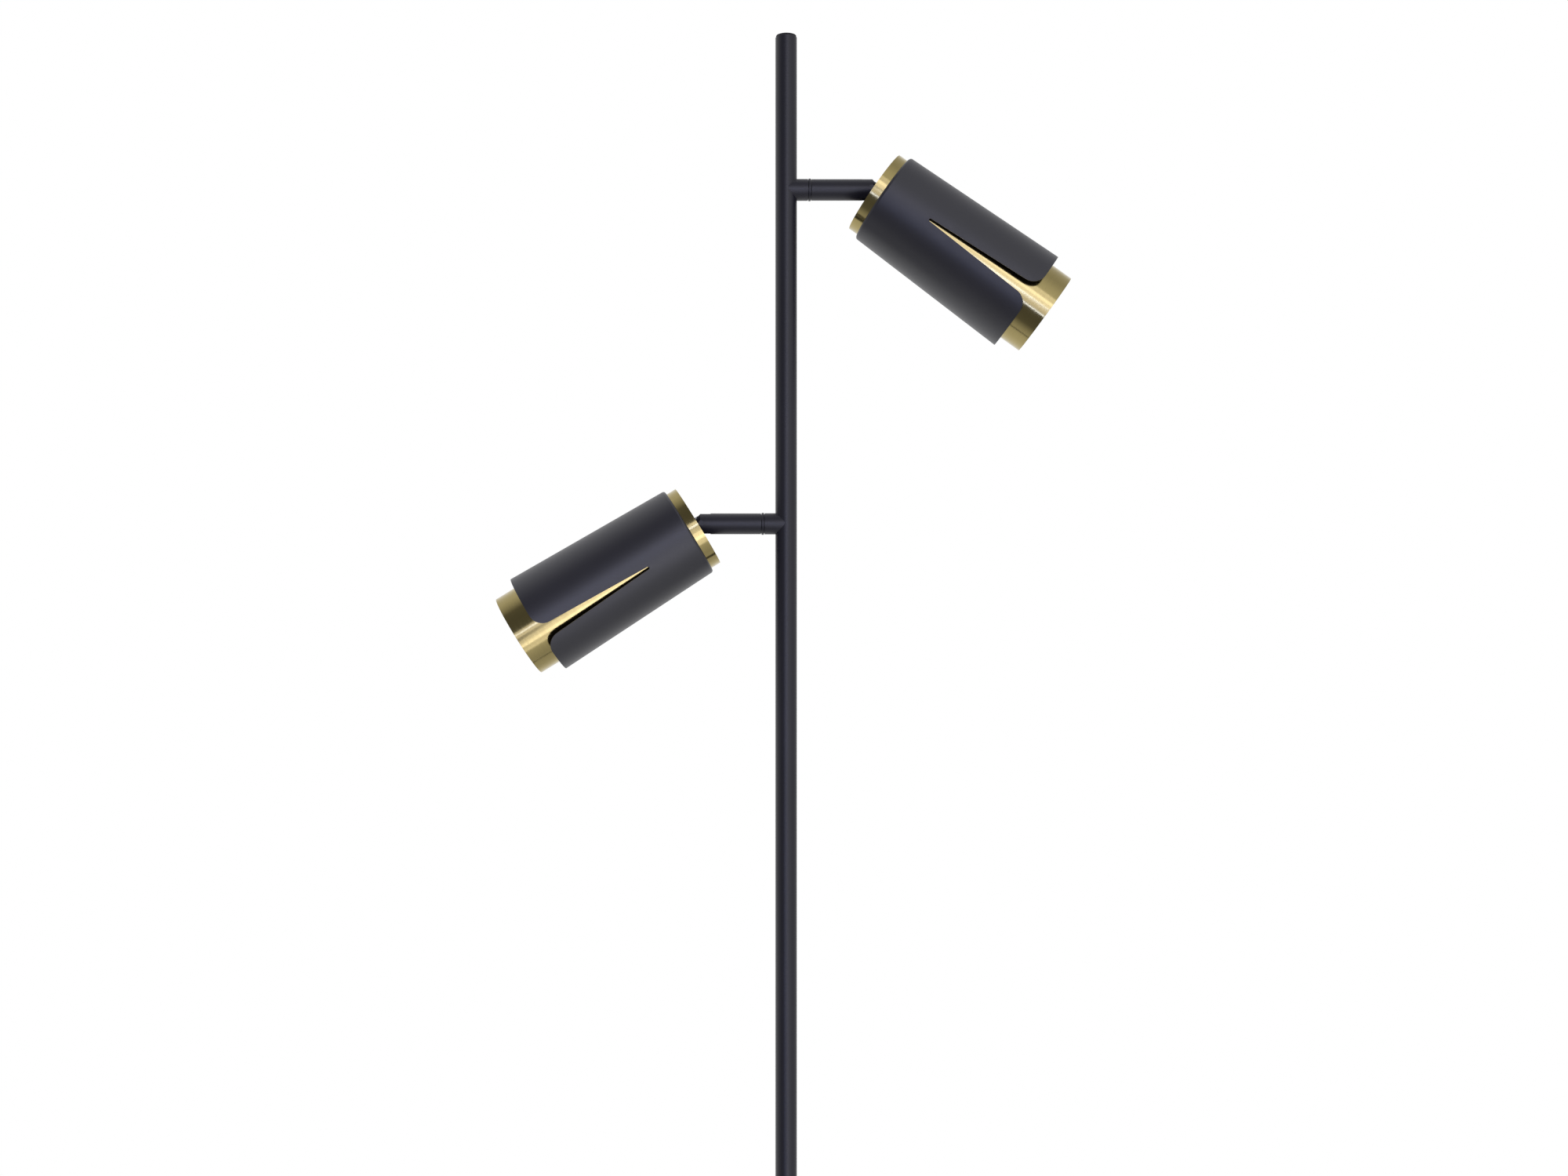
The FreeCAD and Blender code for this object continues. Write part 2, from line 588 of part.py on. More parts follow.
def make_jack_nut():
    body = lathe("jack_nut", "Z", [
        ("nut_under", "screw_diameter / 2 + running_gap"),
        ("nut_under", "jack_nut_diameter / 2 - small_edge"),
        ("nut_under + small_edge", "jack_nut_diameter / 2"),
        ("nut_top - small_edge", "jack_nut_diameter / 2"),
        ("nut_top", "jack_nut_diameter / 2 - small_edge"),
        ("nut_top", "screw_diameter / 2 + running_gap")])
    doc.recompute()
    whole = body.Shape.Volume
    sketch = outline(body, "flute_section", "XY_Plane", [])
    rim = FreeCAD.Vector(value("jack_nut_diameter / 2"), 0, 0)
    circle = Part.Circle(rim, FreeCAD.Vector(0, 0, 1), value("flute_radius"))
    sketch.addGeometry(circle, False)
    fix_point(sketch, 0, 3, "jack_nut_diameter / 2", "0")
    fix_radius(sketch, 0, "flute_radius")
    flute = body.newObject("PartDesign::Pocket", "flute")
    flute.Profile = sketch
    flute.Type = "ThroughAll"
    flute.Reversed = True
    flutes = body.newObject("PartDesign::PolarPattern", "flutes")
    flutes.Originals = [flute]
    flutes.Axis = (sketch, ["N_Axis"])
    flutes.Angle = 360
    bind(flutes, Occurrences="flute_count")
    body.Tip = flutes
    doc.recompute()
    if body.Shape.Volume >= whole:
        raise RuntimeError("the hand nut's flutes cut nothing")
    node("jack_nut", body)


def make_spring():
    """The tension spring: one wire wound between the plunger's collar and the block."""
    rise = "spring_length - spring_wire"
    coils = bind(doc.addObject("Part::Helix", "spring_line"), Radius="spring_radius", Height=rise,
                 Pitch=f"({rise}) / spring_coils")
    wire = bind(doc.addObject("Part::Circle", "spring_wire_section"), Radius="spring_wire / 2")
    wire.Placement.Rotation = FreeCAD.Rotation(FreeCAD.Vector(1, 0, 0), 90)
    at(wire, x="spring_radius")
    spring = doc.addObject("Part::Sweep", "tension_spring")
    spring.Sections = [wire]
    spring.Spine = (coils, [])
    spring.Solid = True
    spring.Frenet = True
    node("tension_spring", at(spring, z="spring_under + spring_wire / 2"))


# --- Swivels and arms ---------------------------------------------------------------------

def on_arm(side, thing):
    """Place a piece made along +X from the pole's axis on its own arm."""
    turned(thing, (0, 1, 0), "0" if side == "upper" else "180")
    return at(thing, z=f"{side}_arm_height")


def make_swivels():
    """The pieces fixed to the pole at both arms: one node for each kind."""
    kinds = {
        "arm_stubs": arm_stub,
        "swivel_nipples": lambda name: lathe(name, "X", tube_corners(
            "nipple_start", "nipple_end", "nipple_bore / 2", "nipple_radius")),
        "swivel_rings": swivel_ring,
        "swivel_spring_washers": lambda name: lathe(name, "X", tube_corners(
            "spring_washer_start", "spring_washer_start + spring_washer_height",
            "nipple_radius + fit_gap", "swivel_nut_diameter / 2")),
        "swivel_nuts": lambda name: lathe(name, "X", tube_corners(
            "swivel_nut_start", "swivel_nut_start + swivel_nut_height",
            "nipple_radius + fit_gap", "swivel_nut_diameter / 2")),
    }
    for kind, make in kinds.items():
        pair = [on_arm(side, make(f"{side}_{kind}")) for side in ("upper", "lower")]
        node(kind, group(kind, pair))


def arm_stub(name):
    bar = lathe(f"{name}_bar", "X", [
        ("0", "nipple_radius + fit_gap"),
        ("0", "stub_diameter / 2"),
        ("stub_length", "stub_diameter / 2"),
        ("stub_length", "groove_radius"),
        ("ring_start", "groove_radius"),
        ("ring_start", "nipple_radius + fit_gap")])
    saddle = cylinder(f"{name}_saddle", "pole_radius", "2 * stub_diameter", z="-stub_diameter")
    return cut(name, bar, saddle)


def swivel_ring(name):
    return lathe(name, "X", [
        ("ring_start", "nipple_radius + fit_gap"),
        ("ring_start", "ring_diameter / 2 - ring_edge"),
        ("ring_start + ring_edge", "ring_diameter / 2"),
        ("ring_end - ring_edge", "ring_diameter / 2"),
        ("ring_end", "ring_diameter / 2 - ring_edge"),
        ("ring_end", "nipple_radius + fit_gap")])


def make_arm(side):
    name = side_name(side, "arm")
    bar = lathe(f"{name}_bar", "X", [
        ("arm_start", "arm_bore / 2"),
        ("arm_start", "arm_diameter / 2"),
        ("arm_end - arm_bevel", "arm_diameter / 2"),
        ("arm_end", "arm_diameter / 2 - arm_bevel"),
        ("arm_end", "0"),
        ("pivot_reach", "0"),
        ("pivot_reach", "arm_lead_bore / 2"),
        ("arm_bore_end", "arm_lead_bore / 2"),
        ("arm_bore_end", "arm_bore / 2")])
    slot = block(f"{name}_slot", "pivot_reach - slot_depth", "arm_end + arm_tip", "slot_width",
                 "2 * arm_diameter")
    hole = cylinder(f"{name}_pin_hole", "pin_diameter / 2 + fit_gap", "2 * arm_diameter", "Y",
                    x="pivot_reach", y="-arm_diameter")
    node(name, on_arm(side, cut(name, bar, slot, hole)))

    bush = side_name(side, "arm_bush")
    node(bush, on_arm(side, lathe(bush, "X", [
        ("ring_end + running_gap", "nipple_radius + running_gap"),
        ("ring_end + running_gap", "groove_radius"),
        ("arm_start", "groove_radius"),
        ("arm_start", "arm_bore / 2 - fit_gap"),
        ("arm_bush_end", "arm_bore / 2 - fit_gap"),
        ("arm_bush_end", "nipple_radius + running_gap")])))

    pin = side_name(side, "tilt_pin")
    pin_length = "arm_diameter - 2 * pin_sink"
    rod = cylinder(f"{pin}_rod", "pin_diameter / 2", pin_length, "Y", x="pivot_reach",
                   y=f"-({pin_length}) / 2")
    node(pin, on_arm(side, group(pin, [rod])))

    washers = side_name(side, "tilt_washers")
    pair = []
    for part, start in (("near", "-slot_width / 2"), ("far", "slot_width / 2 - washer_thickness")):
        disc = cylinder(f"{washers}_{part}_disc", "washer_diameter / 2", "washer_thickness", "Y",
                        x="pivot_reach", y=start)
        hole = cylinder(f"{washers}_{part}_hole", "pin_diameter / 2 + fit_gap",
                        "2 * slot_width", "Y", x="pivot_reach", y="-slot_width")
        pair.append(cut(f"{washers}_{part}", disc, hole))
    node(washers, on_arm(side, group(washers, pair)))

    lead = side_name(side, "arm_lead")
    start = "nipple_end + seat_gap"
    rod = cylinder(f"{lead}_rod", "arm_lead_diameter / 2",
                   f"pivot_reach - slot_depth - seat_gap - ({start})", "X", x=start,
                   z="-(arm_lead_bore - arm_lead_diameter) / 2 + fit_gap")
    node(lead, on_arm(side, group(lead, [rod])))


# --- Spot heads ---------------------------------------------------------------------------
# Each piece is made along +X from the tilt pivot and then placed on its own head.

def on_head(side, thing):
    if side == "upper":
        turned(thing, (0, 1, 0), "upper_tilt")
        return at(thing, x="pivot_reach", z="upper_arm_height")
    turned(thing, (0, 1, 0), "180 - lower_tilt")
    return at(thing, x="-pivot_reach", z="lower_arm_height")


def radial_holes(side, name, radius, place):
    """Bars square to the head's axis, one between each two slits of the sleeve."""
    bars = []
    for index in range(int(value("slit_count"))):
        bar = cylinder(f"{name}_{index}", radius, "sleeve_front_diameter", x=place)
        bars.append(turned(bar, (1, 0, 0), petal_angle(side, index)))
    return bars


def petal_angle(side, index):
    """Turn about the head's axis that takes +Z to the middle of one petal."""
    return f"90 - {side}_roll + ({index} + 1 / 2) * 360 / slit_count"


def make_tongue(side):
    name = side_name(side, "tongue")
    eye = cylinder(f"{name}_eye", "tongue_radius", "tongue_thickness", "Y", y="-tongue_thickness / 2")
    web = block(f"{name}_web", "0", "plate_front + tongue_foot_thickness / 2", "tongue_thickness",
                "2 * tongue_radius")
    foot = block(f"{name}_foot", "plate_front", "tongue_foot_front", "tongue_foot_width",
                 "tongue_foot_height")
    tools = [cylinder(f"{name}_pin_bore", "pin_diameter / 2 + running_gap", "2 * tongue_thickness",
                      "Y", y="-tongue_thickness")]
    tools += knuckle_holes(name)
    node(name, on_head(side, cut(name, joined(f"{name}_blank", eye, web, foot), *tools)))


def knuckle_holes(name):
    """Holes for the two screws that clamp plate, tongue and lampholder strap."""
    holes = []
    for index, way in enumerate(("", "-")):
        holes.append(cylinder(f"{name}_screw_hole_{index}", "short_screw_radius + fit_gap",
                              "2 * bracket_front", "X", z=f"{way}knuckle_screw_spread"))
    return holes


def make_back_plate(side):
    name = side_name(side, "back_plate")
    cup = lathe(f"{name}_cup", "X", [
        ("plate_back", "0"),
        ("plate_back", "plate_radius"),
        ("skirt_front", "plate_radius"),
        ("skirt_front", "skirt_radius"),
        ("plate_front", "skirt_radius"),
        ("plate_front", "0")])
    slot = block(f"{name}_slot", "0", "2 * plate_front", "tongue_thickness + 2 * fit_gap",
                 "2 * (tongue_radius + fit_gap)")
    lead_hole = cylinder(f"{name}_lead_hole", "holder_lead_spread + holder_lead_diameter / 2 + seat_gap",
                         "2 * plate_front", "X", y="holder_lead_side")
    tools = [slot, lead_hole] + knuckle_holes(name)
    tools += radial_holes(side, f"{name}_radial", "short_screw_radius + fit_gap", "collar_screw")
    node(name, on_head(side, cut(name, cup, *tools)))


def make_barrel(side):
    name = side_name(side, "barrel")
    pipe = lathe(f"{name}_pipe", "X",
                 tube_corners("barrel_back", "barrel_front", "barrel_bore_radius", "barrel_radius"))
    tools = radial_holes(side, f"{name}_radial", "short_screw_radius + fit_gap", "collar_screw")
    node(name, on_head(side, cut(name, pipe, *tools)))


def make_collar(side):
    name = side_name(side, "sleeve_collar")
    rear = "sleeve_inside - fit_gap + sleeve_slope * (collar_back - sleeve_back)"
    front = "sleeve_inside - fit_gap + sleeve_slope * (collar_front - sleeve_back)"
    ring = lathe(f"{name}_ring", "X", [
        ("collar_back", "barrel_radius + fit_gap"),
        ("collar_back", f"{rear} - sleeve_inner_edge"),
        ("collar_back + sleeve_inner_edge", rear),
        ("collar_front", front),
        ("collar_front", "barrel_radius + fit_gap")])
    tools = radial_holes(side, f"{name}_radial", "short_screw_radius + fit_gap", "collar_screw")
    node(name, on_head(side, cut(name, ring, *tools)))


def slit_outline(body, name, side):
    """One slit: a round tip, two straight edges that part, and the petals' round corners."""
    sketch = outline(body, name, "XZ_Plane", [], tilt=f"-{side}_roll")
    tip = "slit_tip_width / 2"
    tip_centre = f"slit_tip + {tip}"
    lean = "(slit_front_width - slit_tip_width) / (2 * slit_length)"
    corner_along = "sleeve_front - petal_corner"
    corner_across = (f"{tip} + {lean} * ({corner_along} - slit_tip)"
                     f" + petal_corner * sqrt(1 + ({lean}) ^ 2)")
    meet_along = f"{corner_along} + petal_corner * {lean} / sqrt(1 + ({lean}) ^ 2)"
    past_front = "sleeve_front + petal_corner"
    axis = FreeCAD.Vector(0, 0, 1)
    centre = FreeCAD.Vector(value(tip_centre), 0, 0)
    tip_circle = Part.Circle(centre, axis, value(tip))
    add = sketch.addGeometry
    add(Part.ArcOfCircle(tip_circle, math.pi / 2, 3 * math.pi / 2), False)
    fix_point(sketch, 0, 3, tip_centre, "0")
    fix_radius(sketch, 0, tip)
    fix_along(sketch, 0, 1, tip_centre)
    fix_along(sketch, 0, 2, tip_centre)
    edge_turn = math.atan(value(lean))
    for first, way in ((1, 1), (4, -1)):
        across = value(corner_across) * way
        middle = FreeCAD.Vector(value(corner_along), across, 0)
        radius = value("petal_corner")
        start = FreeCAD.Vector(value(tip_centre), value(tip) * way, 0)
        meet = middle + FreeCAD.Vector(math.sin(edge_turn), -way * math.cos(edge_turn), 0) * radius
        front = FreeCAD.Vector(value("sleeve_front"), across, 0)
        past = FreeCAD.Vector(value(past_front), across, 0)
        circle = Part.Circle(middle, axis, radius)
        low, high = (-math.pi / 2 + edge_turn, 0) if way > 0 else (0, math.pi / 2 - edge_turn)
        meet_end, front_end = (1, 2) if way > 0 else (2, 1)
        add(Part.LineSegment(start, meet), False)
        add(Part.ArcOfCircle(circle, low, high), False)
        add(Part.LineSegment(front, past), False)
        link = sketch.addConstraint
        link(Sketcher.Constraint("Coincident", 0, 1 if way > 0 else 2, first, 1))
        link(Sketcher.Constraint("Coincident", first, 2, first + 1, meet_end))
        link(Sketcher.Constraint("Coincident", first + 1, front_end, first + 2, 1))
        signed = corner_across if way > 0 else f"-({corner_across})"
        fix_point(sketch, first + 1, 3, corner_along, signed)
        fix_radius(sketch, first + 1, "petal_corner")
        fix_along(sketch, first, 2, meet_along)
        fix_across(sketch, first + 2, 1, signed)
        fix_point(sketch, first + 2, 2, past_front, signed)
    add(Part.LineSegment(FreeCAD.Vector(value(past_front), value(corner_across), 0),
                         FreeCAD.Vector(value(past_front), -value(corner_across), 0)), False)
    sketch.addConstraint(Sketcher.Constraint("Coincident", 3, 2, 7, 1))
    sketch.addConstraint(Sketcher.Constraint("Coincident", 6, 2, 7, 2))
    return sketch


def make_sleeve(side):
    """The flared outer sleeve: slits from the front divide it into petals."""
    name = side_name(side, "sleeve")
    body = lathe(name, "X", [
        ("sleeve_back", "lip_radius"),
        ("sleeve_back", "sleeve_back_diameter / 2"),
        ("sleeve_front", "sleeve_front_diameter / 2"),
        ("sleeve_front", "sleeve_front_diameter / 2 - sleeve_wall"),
        ("sleeve_back + sleeve_wall + sleeve_inner_edge",
         "sleeve_inside + sleeve_slope * (sleeve_wall + sleeve_inner_edge)"),
        ("sleeve_back + sleeve_wall", "sleeve_inside - sleeve_inner_edge"),
        ("sleeve_back + sleeve_wall", "lip_radius")])
    round_edge(body, "sleeve_back", "sleeve_back_diameter / 2", "sleeve_edge")
    whole = body.Shape.Volume
    section = slit_outline(body, f"{name}_slit_section", side)
    slit = body.newObject("PartDesign::Pocket", f"{name}_slit")
    slit.Profile = section
    slit.Reversed = True
    bind(slit, Length="sleeve_front_diameter")
    slits = body.newObject("PartDesign::PolarPattern", f"{name}_slits")
    slits.Originals = [slit]
    slits.Axis = (section, ["H_Axis"])
    slits.Angle = 360
    bind(slits, Occurrences="slit_count")
    body.Tip = slits
    doc.recompute()
    if body.Shape.Volume >= whole:
        raise RuntimeError("the sleeve's slits cut nothing")
    node(name, on_head(side, body))


def make_screws(side):
    name = side_name(side, "head_screws")
    screws = []
    for index in range(int(value("slit_count"))):
        screw = small_screw(f"{name}_sleeve_{index}", "short_screw_length")
        carrier = group(f"{name}_sleeve_{index}_raised", [at(screw, z="screw_seat")])
        turned(carrier, (1, 0, 0), petal_angle(side, index))
        screws.append(at(carrier, x="collar_screw"))
    for index, face in enumerate((180, 0)):
        screw = small_screw(f"{name}_holder_{index}", "short_screw_length")
        screw.Placement.Rotation = FreeCAD.Rotation(FreeCAD.Vector(1, 0, 0), face)
        height = "bracket_outside" if face else "-(bracket_outside)"
        screws.append(at(screw, x="holder_screw", z=height))
    node(name, on_head(side, group(name, screws)))

    name = side_name(side, "knuckle_screws")
    screws = []
    for index, way in enumerate(("", "-")):
        screw = small_screw(f"{name}_{index}", "long_screw_length")
        screw.Placement.Rotation = FreeCAD.Rotation(FreeCAD.Vector(0, 1, 0), -90)
        screws.append(at(screw, x="bracket_front", z=f"{way}knuckle_screw_spread"))
    node(name, on_head(side, group(name, screws)))


def make_lampholder(side):
    name = side_name(side, "holder_bracket")
    parts = [block(f"{name}_base", "tongue_foot_front", "bracket_front", "bracket_width",
                   "2 * bracket_outside")]
    for index, way in enumerate(("", "-")):
        parts.append(block(f"{name}_leg_{index}", "tongue_foot_front", "bracket_end", "bracket_width",
                           "bracket_thickness", f"{way}(bracket_inside + bracket_thickness / 2)"))
    screw_hole = cylinder(f"{name}_cross_hole", "short_screw_radius + fit_gap", "4 * bracket_outside",
                          x="holder_screw", z="-2 * bracket_outside")
    holes = [screw_hole] + knuckle_holes(name)
    node(name, on_head(side, cut(name, joined(f"{name}_strap", *parts), *holes)))

    name = side_name(side, "lampholder")
    body = lathe(f"{name}_body", "X", [
        ("holder_back", "0"),
        ("holder_back", "holder_diameter / 2 - small_edge"),
        ("holder_back + small_edge", "holder_diameter / 2"),
        ("holder_front", "holder_diameter / 2"),
        ("holder_front", "0")])
    holes = [cylinder(f"{name}_cross_hole", "short_screw_radius + fit_gap", "2 * holder_diameter",
                      x="holder_screw", z="-holder_diameter")]
    for index, way in enumerate(("", "-")):
        holes.append(cylinder(f"{name}_pin_hole_{index}", "lamp_pin_head_diameter / 2 + seat_gap",
                              "lamp_pin_length + holder_length", "X",
                              x="holder_front - lamp_pin_length - seat_gap",
                              y=f"{way}lamp_pin_spacing / 2"))
    node(name, on_head(side, cut(name, body, *holes)))

    name = side_name(side, "holder_leads")
    pair = []
    for index, way in enumerate(("", "-")):
        pair.append(cylinder(f"{name}_{index}", "holder_lead_diameter / 2",
                             "holder_back - seat_gap - plate_back", "X", x="plate_back",
                             y="holder_lead_side", z=f"{way}holder_lead_spread"))
    node(name, on_head(side, group(name, pair)))


def make_lamp(side):
    name = side_name(side, "lamp_body")
    node(name, on_head(side, lathe(name, "X", [
        ("lamp_back", "0"),
        ("lamp_back", "lamp_neck_diameter / 2"),
        ("lamp_back + lamp_neck_length", "lamp_neck_diameter / 2"),
        ("lamp_face - lamp_rim_length", "lamp_diameter / 2 - lamp_rim_wall"),
        ("lamp_face - lamp_rim_length", "lamp_diameter / 2"),
        ("lamp_face", "lamp_diameter / 2"),
        ("lamp_face", "lens_radius"),
        ("lens_back", "lens_radius"),
        ("lens_back", "0")])))
    name = side_name(side, "lamp_lens")
    node(name, on_head(side, lathe(name, "X", [
        ("lens_back + fit_gap", "0"),
        ("lens_back + fit_gap", "lens_radius - fit_gap"),
        ("lens_front - lens_edge_depth", "lens_radius - fit_gap"),
        ("lens_front", "lens_radius - lens_edge_width"),
        ("lens_front", "0")])))
    name = side_name(side, "lamp_pins")
    pair = []
    for index, way in enumerate(("", "-")):
        pin = lathe(f"{name}_{index}", "X", [
            ("lamp_back - lamp_pin_length", "0"),
            ("lamp_back - lamp_pin_length", "lamp_pin_head_diameter / 2"),
            ("lamp_back - lamp_pin_length + lamp_pin_head_height", "lamp_pin_head_diameter / 2"),
            ("lamp_back - lamp_pin_length + lamp_pin_head_height", "lamp_pin_diameter / 2"),
            ("lamp_back", "lamp_pin_diameter / 2"),
            ("lamp_back", "0")])
        pair.append(at(pin, y=f"{way}lamp_pin_spacing / 2"))
    node(name, on_head(side, group(name, pair)))


def make_lamp_ring(side):
    name = side_name(side, "lamp_ring")
    outer_wall = "ring_radius - lamp_ring_wall"
    inner_wall = "ring_bore_radius + lamp_ring_wall"
    node(name, on_head(side, lathe(name, "X", [
        ("ring_back", "ring_bore_radius"),
        ("ring_back", inner_wall),
        ("ring_front - lamp_ring_wall", inner_wall),
        ("ring_front - lamp_ring_wall", outer_wall),
        ("ring_back", outer_wall),
        ("ring_back", "ring_radius"),
        ("ring_front", "ring_radius"),
        ("ring_front", "ring_bore_radius"),
        ("clip_place + clip_groove", "ring_bore_radius"),
        ("clip_place + clip_groove", "ring_bore_radius + clip_groove"),
        ("clip_place - clip_groove", "ring_bore_radius + clip_groove"),
        ("clip_place - clip_groove", "ring_bore_radius")])))
    name = side_name(side, "lamp_clip")
    clip = bind(doc.addObject("Part::Torus", f"{name}_wire"), Radius1="ring_bore_radius",
                Radius2="clip_wire / 2", Angle3="360 - clip_opening")
    clip.Placement.Rotation = FreeCAD.Rotation(FreeCAD.Vector(0, 1, 0), 90)
    node(name, on_head(side, group(name, [at(clip, x="clip_place")])))


def make_head(side):
    make_tongue(side)
    make_back_plate(side)
    make_barrel(side)
    make_collar(side)
    make_sleeve(side)
    make_screws(side)
    make_lampholder(side)
    make_lamp(side)
    make_lamp_ring(side)


def export_nodes():
    """Check every object, then write one file for each sub-part."""
    doc.recompute()
    for thing in doc.Objects:
        if {"Invalid", "Error"} & set(thing.State):
            raise RuntimeError(f"{thing.Name} failed: {thing.State}")
    for name, thing in NODES.items():
        if thing.Shape.isNull() or not thing.Shape.isValid() or not thing.Shape.Solids:
            raise RuntimeError(f"{name} has no valid solid")
    os.makedirs("parts", exist_ok=True)
    for name, thing in NODES.items():
        thing.Shape.exportStep(f"parts/{name}.step")
        print(name, len(thing.Shape.Solids), round(thing.Shape.Volume, 1))


def report_spring():
    """The least gap between neighbouring turns of the spring."""
    pitch = value("(spring_length - spring_wire) / spring_coils")
    lean = math.atan(pitch / (2 * math.pi * value("spring_radius")))
    print("spring, least gap between turns", round(pitch * math.cos(lean) - value("spring_wire"), 2))


make_pole()
make_cable_outlet()
make_wiring()
make_foot()
make_swivels()
for head_side in ("upper", "lower"):
    make_arm(head_side)
    make_head(head_side)
export_nodes()
report_spring()
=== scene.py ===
import json
import math

import bmesh
import bpy
from mathutils import Matrix, Vector


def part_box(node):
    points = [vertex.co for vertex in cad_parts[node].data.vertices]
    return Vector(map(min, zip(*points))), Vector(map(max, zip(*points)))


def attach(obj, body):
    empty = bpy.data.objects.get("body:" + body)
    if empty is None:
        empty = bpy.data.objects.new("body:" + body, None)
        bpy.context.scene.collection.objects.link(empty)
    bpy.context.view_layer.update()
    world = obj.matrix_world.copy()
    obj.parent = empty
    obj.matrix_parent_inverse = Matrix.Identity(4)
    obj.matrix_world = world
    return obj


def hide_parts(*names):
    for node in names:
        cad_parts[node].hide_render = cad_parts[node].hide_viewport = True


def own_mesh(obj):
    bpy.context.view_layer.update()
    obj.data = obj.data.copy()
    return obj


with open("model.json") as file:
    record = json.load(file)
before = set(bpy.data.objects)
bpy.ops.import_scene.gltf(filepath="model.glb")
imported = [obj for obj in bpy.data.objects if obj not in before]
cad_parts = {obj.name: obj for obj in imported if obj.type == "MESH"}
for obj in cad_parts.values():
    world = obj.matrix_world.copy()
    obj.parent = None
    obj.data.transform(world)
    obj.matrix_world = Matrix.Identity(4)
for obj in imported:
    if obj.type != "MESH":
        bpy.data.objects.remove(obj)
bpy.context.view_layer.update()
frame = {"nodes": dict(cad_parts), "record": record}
MM = 0.001

# Each head's turn about its tilt pin, downwards from pointing level to the right, in degrees.
HEAD_TILT = {"upper": 35.7, "lower": 180 - 31.6}
JOINTS = {joint["name"]: joint for joint in frame["record"]["behaviour"]["joints"]}

# Camera: it looks square at the pole from left of and below the picture's middle.
CAMERA_PLACE = Vector((-48.3, -1300, 1925)) * MM
PICTURE_MIDDLE = Vector((-1.6, 0, 1989)) * MM
PICTURE_WIDTH = 1.168


def make_camera():
    data = bpy.data.cameras.new("camera")
    camera = bpy.data.objects.new("camera", data)
    bpy.context.scene.collection.objects.link(camera)
    bpy.context.scene.camera = camera
    reach = PICTURE_MIDDLE - CAMERA_PLACE
    camera.location = CAMERA_PLACE
    camera.rotation_euler = (math.radians(90), 0, 0)
    data.sensor_width = 36
    data.lens = data.sensor_width * reach.y / PICTURE_WIDTH
    data.shift_x = reach.x / PICTURE_WIDTH
    data.shift_y = reach.z / PICTURE_WIDTH
    data.clip_start = 0.05
    data.clip_end = 50


def add_node(tree, kind, inputs, settings):
    """A node whose inputs are linked to the outputs of other nodes, or set to an amount."""
    made = tree.nodes.new(kind)
    for words, setting in settings.items():
        setattr(made, words, setting)
    for name, source in dict(inputs).items():
        if isinstance(source, bpy.types.NodeSocket):
            tree.links.new(source, made.inputs[name])
        else:
            made.inputs[name].default_value = source
    return made


# --- Materials ----------------------------------------------------------------------------

# What can be the same all over a piece, and the shader's own word for it.
UNIFORM = {"metallic": "Metallic", "clear": "Transmission Weight", "bending": "IOR",
           "shine": "Specular IOR Level"}


class Finish:
    """A procedural material: a Principled shader and the nodes that feed it."""

    def __init__(self, name, roughness, **uniform):
        self.material = bpy.data.materials.new(name)
        self.material.use_nodes = True
        self.tree = self.material.node_tree
        self.shader = self.tree.nodes["Principled BSDF"]
        self.shader.inputs["Roughness"].default_value = roughness
        for words, amount in uniform.items():
            self.shader.inputs[UNIFORM[words]].default_value = amount
        self.place = self.node("ShaderNodeTexCoord").outputs["Object"]

    def node(self, kind, inputs=(), **settings):
        return add_node(self.tree, kind, inputs, settings)

    def turned(self, centre, angle):
        """The place measured from a centre, along an axis that is turned about Y."""
        moved = self.node("ShaderNodeMapping", {"Vector": self.place, "Location": centre,
                                                "Rotation": (0, angle, 0)}, vector_type="TEXTURE")
        return moved.outputs["Vector"]

    def stretched(self, place, scale):
        return self.node("ShaderNodeMapping", {"Vector": place, "Scale": scale}).outputs["Vector"]

    def noise(self, place, scale, detail=2.0, rough=0.5):
        made = self.node("ShaderNodeTexNoise", {"Vector": place, "Scale": scale, "Detail": detail,
                                                "Roughness": rough})
        return made.outputs["Fac"]

    def spread(self, source, low, high, start=0.3, end=0.7):
        """A value between low and high that follows a pattern."""
        made = self.node("ShaderNodeMapRange", {"Value": source, "From Min": start, "From Max": end,
                                                "To Min": low, "To Max": high})
        return made.outputs["Result"]

    def tinted(self, source, low, high):
        """A colour between two that follows a pattern."""
        made = self.node("ShaderNodeMix", {"Factor": self.spread(source, 0, 1), "A": (*low, 1),
                                           "B": (*high, 1)}, data_type="RGBA")
        return made.outputs["Result"]

    def colour(self, source):
        self.tree.links.new(source, self.shader.inputs["Base Color"])

    def roughen(self, source):
        self.tree.links.new(source, self.shader.inputs["Roughness"])

    def raise_by(self, *layers):
        """Relief of several patterns, each (pattern, strength, depth in metres)."""
        normal = None
        for pattern, strength, depth in layers:
            inputs = {"Height": pattern, "Strength": strength, "Distance": depth}
            if normal:
                inputs["Normal"] = normal
            normal = self.node("ShaderNodeBump", inputs).outputs["Normal"]
        self.tree.links.new(normal, self.shader.inputs["Normal"])


def darker(colour, share):
    return tuple(part * share for part in colour)


def powder_coat(name, colour, roughness, shine):
    """Satin powder coat: a soft orange peel with a fine grain in it."""
    coat = Finish(name, roughness, shine=shine)
    cloud = coat.noise(coat.place, scale=14, detail=3)
    peel = coat.noise(coat.place, scale=700)
    grain = coat.noise(coat.place, scale=3800, rough=0.6)
    coat.colour(coat.tinted(cloud, darker(colour, 0.9), darker(colour, 1.12)))
    coat.roughen(coat.spread(grain, roughness - 0.05, roughness + 0.06))
    coat.raise_by((peel, 0.12, 0.00008), (grain, 0.15, 0.00002))
    return coat.material


TARNISH = (0.72, 0.62, 0.48)


